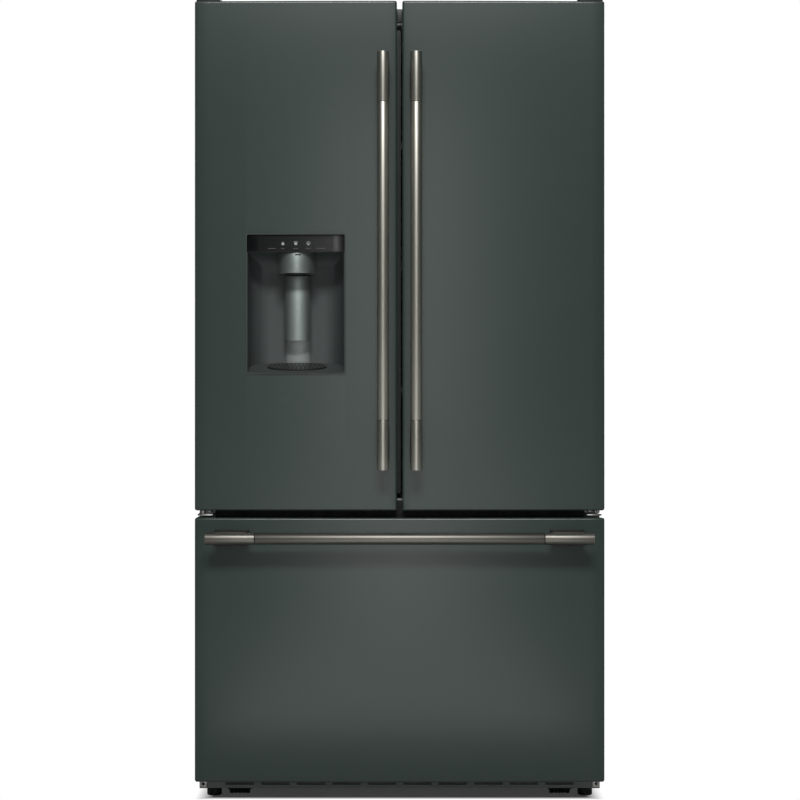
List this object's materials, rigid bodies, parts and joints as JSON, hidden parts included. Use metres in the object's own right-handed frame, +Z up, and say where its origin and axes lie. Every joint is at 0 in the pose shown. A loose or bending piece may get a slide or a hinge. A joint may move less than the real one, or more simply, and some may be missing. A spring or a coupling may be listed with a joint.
{
  "type": "french door refrigerator",
  "caption": "French door refrigerator with side-by-side upper doors, a bottom freezer drawer, bar handles and an ice and water dispenser in the left door.",
  "frame": {"origin": "on the floor, at the middle of the overall width and depth", "axes": "+X to the right seen from the front, +Z up, the doors face -Y"},
  "size_m": [0.908, 0.89, 1.791],
  "materials": {
    "green_paint": "satin",
    "pewter": "satin",
    "galvanised_steel": "satin",
    "dark_plastic": "satin",
    "black_gloss": "gloss",
    "recess_plastic": "satin",
    "white_plastic": "satin",
    "grey_plastic": "satin",
    "clear_plastic": "gloss",
    "shelf_glass": "gloss",
    "seal_rubber": "matte",
    "roller_rubber": "matte",
    "foam": "matte"
  },
  "bodies": {
    "cabinet": {"cabinet_wrap": "green_paint", "rear_panel": "galvanised_steel", "cabinet_foam": "foam", "fresh_food_liner": "white_plastic", "freezer_liner": "white_plastic", "centre_rail": "green_paint", "base_frame": "galvanised_steel", "toe_grille": "dark_plastic", "machine_cover": "dark_plastic", "compressor": "dark_plastic", "condenser": "galvanised_steel", "evaporator_cover": "white_plastic", "air_tower": "white_plastic", "upper_shelf": "shelf_glass", "middle_shelf": "shelf_glass", "crisper_cover": "shelf_glass", "left_top_hinge": "galvanised_steel", "right_top_hinge": "galvanised_steel", "left_hinge_cover": "dark_plastic", "right_hinge_cover": "dark_plastic", "left_centre_hinge": "galvanised_steel", "right_centre_hinge": "galvanised_steel", "left_fixed_slide": "galvanised_steel", "right_fixed_slide": "galvanised_steel"},
    "left_door": {"left_door_skin": "green_paint", "left_door_liner": "white_plastic", "left_door_gasket": "seal_rubber", "left_door_bin": "clear_plastic", "ice_box": "clear_plastic", "left_handle": "pewter", "dispenser_housing": "recess_plastic", "control_panel": "black_gloss", "dispenser_nozzle": "pewter"},
    "right_door": {"right_door_skin": "green_paint", "right_door_liner": "white_plastic", "right_door_gasket": "seal_rubber", "right_upper_bin": "clear_plastic", "right_lower_bin": "clear_plastic", "right_handle": "pewter"},
    "mullion": {"mullion_flap": "grey_plastic"},
    "freezer_drawer": {"drawer_skin": "green_paint", "drawer_liner": "white_plastic", "drawer_gasket": "seal_rubber", "drawer_handle": "pewter", "drawer_frame": "galvanised_steel", "freezer_bin": "clear_plastic"},
    "upper_basket": {"freezer_basket": "clear_plastic"},
    "left_crisper_drawer": {"left_crisper": "clear_plastic"},
    "right_crisper_drawer": {"right_crisper": "clear_plastic"},
    "paddle": {"dispenser_paddle": "pewter"},
    "tray": {"drip_tray": "dark_plastic"},
    "filter": {"water_filter": "white_plastic"},
    "condenser_fan_wheel": {"condenser_fan": "dark_plastic"},
    "evaporator_fan_wheel": {"evaporator_fan": "dark_plastic"},
    "left_levelling_leg": {"left_leg": "dark_plastic"},
    "right_levelling_leg": {"right_leg": "dark_plastic"},
    "front_left_wheel": {"front_left_roller": "roller_rubber"},
    "front_right_wheel": {"front_right_roller": "roller_rubber"},
    "rear_left_wheel": {"rear_left_roller": "roller_rubber"},
    "rear_right_wheel": {"rear_right_roller": "roller_rubber"}
  },
  "joints": [
    {"name": "left_door_hinge", "type": "hinge", "parent": "cabinet", "child": "left_door", "pos_m": [-0.437, -0.345, 1.214], "axis": [0, 0, -1], "range_deg": [0, 120]},
    {"name": "right_door_hinge", "type": "hinge", "parent": "cabinet", "child": "right_door", "pos_m": [0.437, -0.345, 1.214], "axis": [0, 0, 1], "range_deg": [0, 120]},
    {"name": "mullion_fold", "type": "hinge", "parent": "left_door", "child": "mullion", "pos_m": [-0.03, -0.296, 1.206], "axis": [0, 0, 1], "range_deg": [0, 85]},
    {"name": "drawer_slide", "type": "slide", "parent": "cabinet", "child": "freezer_drawer", "axis": [0, -1, 0], "range_m": [0, 0.4]},
    {"name": "basket_slide", "type": "slide", "parent": "cabinet", "child": "upper_basket", "axis": [0, -1, 0], "range_m": [0, 0.25]},
    {"name": "left_crisper_slide", "type": "slide", "parent": "cabinet", "child": "left_crisper_drawer", "axis": [0, -1, 0], "range_m": [0, 0.181]},
    {"name": "right_crisper_slide", "type": "slide", "parent": "cabinet", "child": "right_crisper_drawer", "axis": [0, -1, 0], "range_m": [0, 0.181]},
    {"name": "paddle_push", "type": "hinge", "parent": "left_door", "child": "paddle", "pos_m": [-0.2297, -0.318, 1.171], "axis": [1, 0, 0], "range_deg": [0, 7], "stiffness_Nm_per_rad": 0.5},
    {"name": "drip_tray_pull", "type": "slide", "parent": "left_door", "child": "tray", "axis": [0, -1, 0], "range_m": [0, 0.06]},
    {"name": "filter_twist", "type": "hinge", "parent": "cabinet", "child": "filter", "pos_m": [0.3, -0.06, 1.69], "axis": [0, 1, 0], "range_deg": [0, 90]},
    {"name": "condenser_fan_spin", "type": "hinge", "parent": "cabinet", "child": "condenser_fan_wheel", "pos_m": [0, 0.265, 0.128], "axis": [1, 0, 0], "continuous": true},
    {"name": "evaporator_fan_spin", "type": "hinge", "parent": "cabinet", "child": "evaporator_fan_wheel", "pos_m": [0, 0.282, 0.44], "axis": [0, 1, 0], "continuous": true},
    {"name": "left_leg_screw", "type": "hinge", "parent": "cabinet", "child": "left_levelling_leg", "pos_m": [-0.42, -0.272, 0.03], "axis": [0, 0, 1], "continuous": true},
    {"name": "right_leg_screw", "type": "hinge", "parent": "cabinet", "child": "right_levelling_leg", "pos_m": [0.42, -0.272, 0.03], "axis": [0, 0, 1], "continuous": true},
    {"name": "front_left_roll", "type": "hinge", "parent": "cabinet", "child": "front_left_wheel", "pos_m": [-0.363, -0.262, 0.021], "axis": [1, 0, 0], "continuous": true},
    {"name": "front_right_roll", "type": "hinge", "parent": "cabinet", "child": "front_right_wheel", "pos_m": [0.363, -0.262, 0.021], "axis": [1, 0, 0], "continuous": true},
    {"name": "rear_left_roll", "type": "hinge", "parent": "cabinet", "child": "rear_left_wheel", "pos_m": [-0.363, 0.396, 0.021], "axis": [1, 0, 0], "continuous": true},
    {"name": "rear_right_roll", "type": "hinge", "parent": "cabinet", "child": "rear_right_wheel", "pos_m": [0.363, 0.396, 0.021], "axis": [1, 0, 0], "continuous": true}
  ],
  "couplings": [
    {"joint": "mullion_fold", "follows": "left_door_hinge", "ratio": 0.7},
    {"joint": "basket_slide", "follows": "drawer_slide", "ratio": 0.6},
    {"joint": "left_crisper_slide", "follows": "left_door_hinge", "m_per_rad": 0.0859},
    {"joint": "right_crisper_slide", "follows": "right_door_hinge", "m_per_rad": 0.0859}
  ]
}
